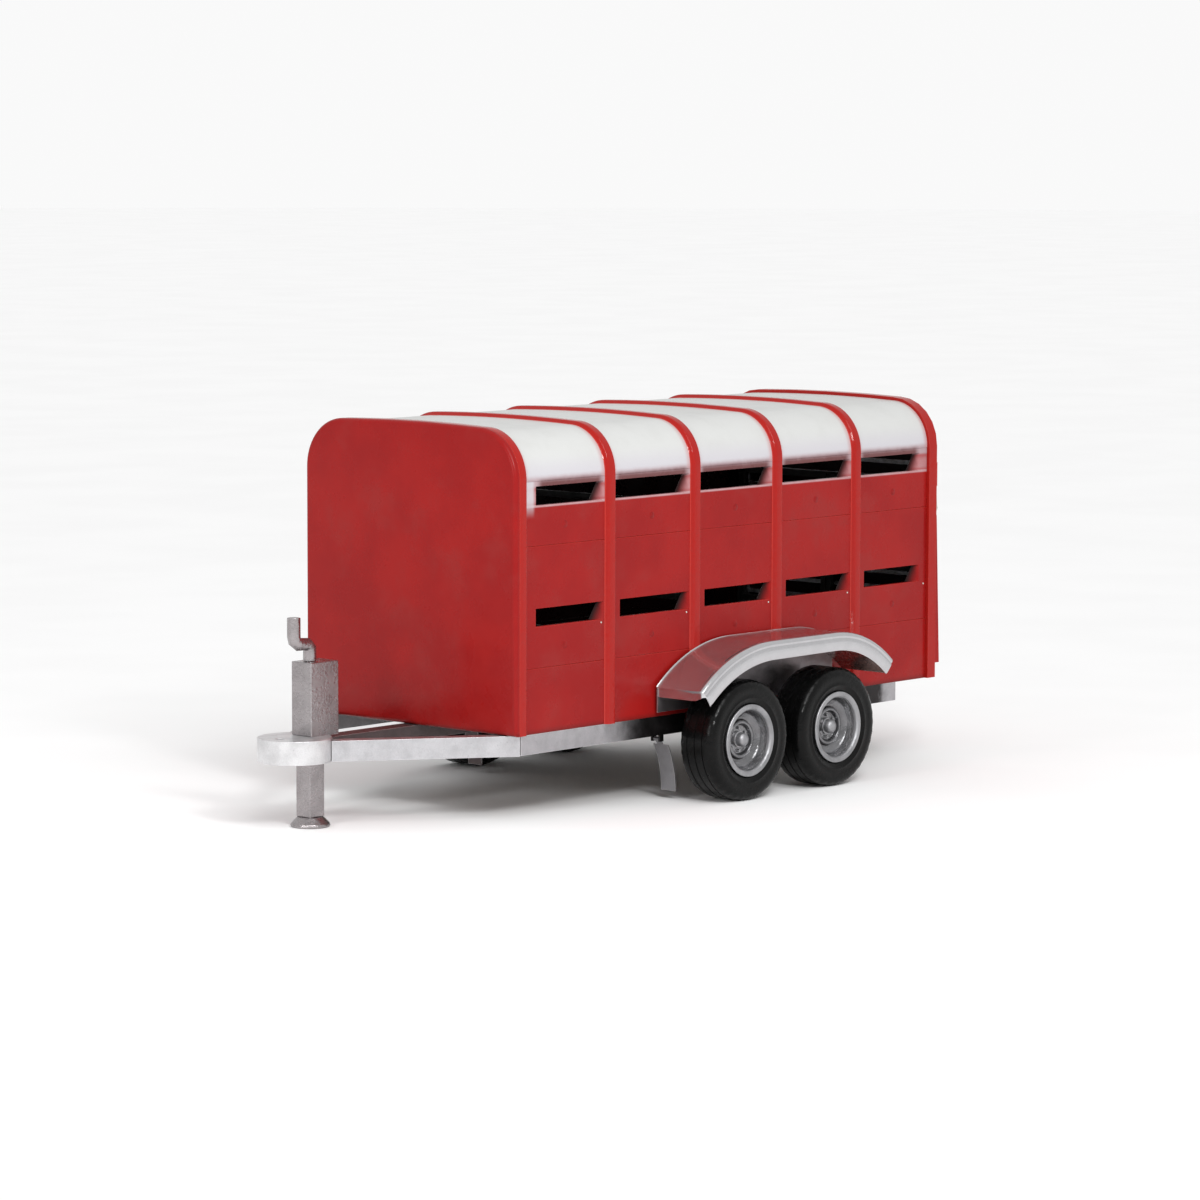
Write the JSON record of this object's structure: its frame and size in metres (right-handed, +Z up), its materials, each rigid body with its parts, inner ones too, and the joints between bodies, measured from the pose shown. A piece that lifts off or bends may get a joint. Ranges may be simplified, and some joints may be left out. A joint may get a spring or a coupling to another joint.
{
  "type": "livestock trailer",
  "caption": "Box-bodied twin-axle drawbar livestock trailer with side vent slots, rolled roof corners, rear ramp, inner gates, wheels on rocking beams and a screw jack.",
  "frame": {"origin": "on the ground, below the middle of the overall length and width", "axes": "+X forward to the hitch, +Y to the left side, +Z up"},
  "size_m": [5.28, 2.548, 2.38],
  "materials": {
    "red_paint": "glossy red enamel",
    "white_paint": "satin white, shading to red above the upper slots",
    "silver": "bright silver paint, slightly grainy",
    "rim_silver": "bright silver, smooth",
    "black_steel": "satin black",
    "tyre": "matt black with satin shoulders",
    "deck": "worn phenolic-faced boards",
    "bright_steel": "zinc plated",
    "galvanised": "galvanised",
    "lamp": "clear red lens"
  },
  "bodies": {
    "root": {"chassis_rail_left": "silver", "chassis_rail_right": "silver", "cross_member_front": "silver", "cross_member_axle": "silver", "cross_member_rear": "silver", "drawbar_arm_left": "silver", "drawbar_arm_right": "silver", "drawbar_spine": "silver", "drawbar_head": "silver", "jack_housing": "silver", "floor_deck": "deck", "front_panel": "red_paint", "rear_sill": "red_paint", "side_plank_lower_left": "red_paint", "side_plank_middle_left": "red_paint", "side_plank_upper_left": "red_paint", "side_plank_lower_right": "red_paint", "side_plank_middle_right": "red_paint", "side_plank_upper_right": "red_paint", "roof_skin": "white_paint", "hoop_1": "red_paint", "hoop_2": "red_paint", "hoop_3": "red_paint", "hoop_4": "red_paint", "hoop_5": "red_paint", "hoop_6": "red_paint", "mudguard_left": "silver", "mudguard_right": "silver", "pivot_bracket_left": "black_steel", "pivot_bracket_right": "black_steel", "rear_lamp_left": "lamp", "rear_lamp_right": "lamp"},
    "jack_leg": {"jack_leg": "silver", "jack_foot": "silver"},
    "jack_crank": {"jack_screw": "bright_steel", "jack_crank": "silver"},
    "ramp": {"ramp_panel": "red_paint", "ramp_battens": "galvanised"},
    "divider_gate": {"divider_gate": "galvanised"},
    "rocker_left": {"rocker_beam_left": "black_steel"},
    "wheel_front_left": {"tyre_front_left": "tyre", "rim_front_left": "rim_silver", "hub_front_left": "rim_silver"},
    "wheel_rear_left": {"tyre_rear_left": "tyre", "rim_rear_left": "rim_silver", "hub_rear_left": "rim_silver"},
    "prop_stand_left": {"prop_stand_left": "silver"},
    "ramp_latch_left": {"ramp_latch_left": "bright_steel"},
    "rear_gate_left": {"rear_gate_left": "galvanised"},
    "rocker_right": {"rocker_beam_right": "black_steel"},
    "wheel_front_right": {"tyre_front_right": "tyre", "rim_front_right": "rim_silver", "hub_front_right": "rim_silver"},
    "wheel_rear_right": {"tyre_rear_right": "tyre", "rim_rear_right": "rim_silver", "hub_rear_right": "rim_silver"},
    "prop_stand_right": {"prop_stand_right": "silver"},
    "ramp_latch_right": {"ramp_latch_right": "bright_steel"},
    "rear_gate_right": {"rear_gate_right": "galvanised"}
  },
  "joints": [
    {"name": "jack_crank_turn", "type": "hinge", "parent": "root", "child": "jack_crank", "pos_m": [2.288, 0, 1], "axis": [0, 0, 1], "range_deg": [0, 5040]},
    {"name": "jack_leg_slide", "type": "slide", "parent": "root", "child": "jack_leg", "axis": [0, 0, 1], "range_m": [0, 0.2801]},
    {"name": "rocker_pivot_left", "type": "hinge", "parent": "root", "child": "rocker_left", "pos_m": [-0.705, 0.906, 0.376], "axis": [0, 1, 0], "range_deg": [-10, 10]},
    {"name": "wheel_spin_front_left", "type": "hinge", "parent": "rocker_left", "child": "wheel_front_left", "pos_m": [-0.278, 1.124, 0.376], "axis": [0, 1, 0], "continuous": true},
    {"name": "wheel_spin_rear_left", "type": "hinge", "parent": "rocker_left", "child": "wheel_rear_left", "pos_m": [-1.132, 1.124, 0.376], "axis": [0, 1, 0], "continuous": true},
    {"name": "prop_stand_fold_left", "type": "hinge", "parent": "root", "child": "prop_stand_left", "pos_m": [0.101, 0.829, 0.386], "axis": [0, -1, 0], "range_deg": [0, 95]},
    {"name": "ramp_latch_turn_left", "type": "hinge", "parent": "root", "child": "ramp_latch_left", "pos_m": [-2.615, 0.845, 1.645], "axis": [1, 0, 0], "range_deg": [0, 90]},
    {"name": "rear_gate_swing_left", "type": "hinge", "parent": "root", "child": "rear_gate_left", "pos_m": [-2.537, 0.772, 1.24], "axis": [0, 0, 1], "range_deg": [0, 90]},
    {"name": "rocker_pivot_right", "type": "hinge", "parent": "root", "child": "rocker_right", "pos_m": [-0.705, -0.906, 0.376], "axis": [0, 1, 0], "range_deg": [-10, 10]},
    {"name": "wheel_spin_front_right", "type": "hinge", "parent": "rocker_right", "child": "wheel_front_right", "pos_m": [-0.278, -1.124, 0.376], "axis": [0, 1, 0], "continuous": true},
    {"name": "wheel_spin_rear_right", "type": "hinge", "parent": "rocker_right", "child": "wheel_rear_right", "pos_m": [-1.132, -1.124, 0.376], "axis": [0, 1, 0], "continuous": true},
    {"name": "prop_stand_fold_right", "type": "hinge", "parent": "root", "child": "prop_stand_right", "pos_m": [0.101, -0.829, 0.386], "axis": [0, -1, 0], "range_deg": [0, 95]},
    {"name": "ramp_latch_turn_right", "type": "hinge", "parent": "root", "child": "ramp_latch_right", "pos_m": [-2.615, -0.845, 1.645], "axis": [-1, 0, 0], "range_deg": [0, 90]},
    {"name": "rear_gate_swing_right", "type": "hinge", "parent": "root", "child": "rear_gate_right", "pos_m": [-2.537, -0.772, 1.24], "axis": [0, 0, -1], "range_deg": [0, 90]},
    {"name": "ramp_hinge", "type": "hinge", "parent": "root", "child": "ramp", "pos_m": [-2.612, 0, 0.6], "axis": [0, -1, 0], "range_deg": [0, 115]},
    {"name": "divider_gate_swing", "type": "hinge", "parent": "root", "child": "divider_gate", "pos_m": [-0.184, -0.79, 1.24], "axis": [0, 0, 1], "range_deg": [0, 88]}
  ],
  "couplings": [
    {"joint": "jack_leg_slide", "follows": "jack_crank_turn", "m_per_rad": 0.0031831}
  ]
}
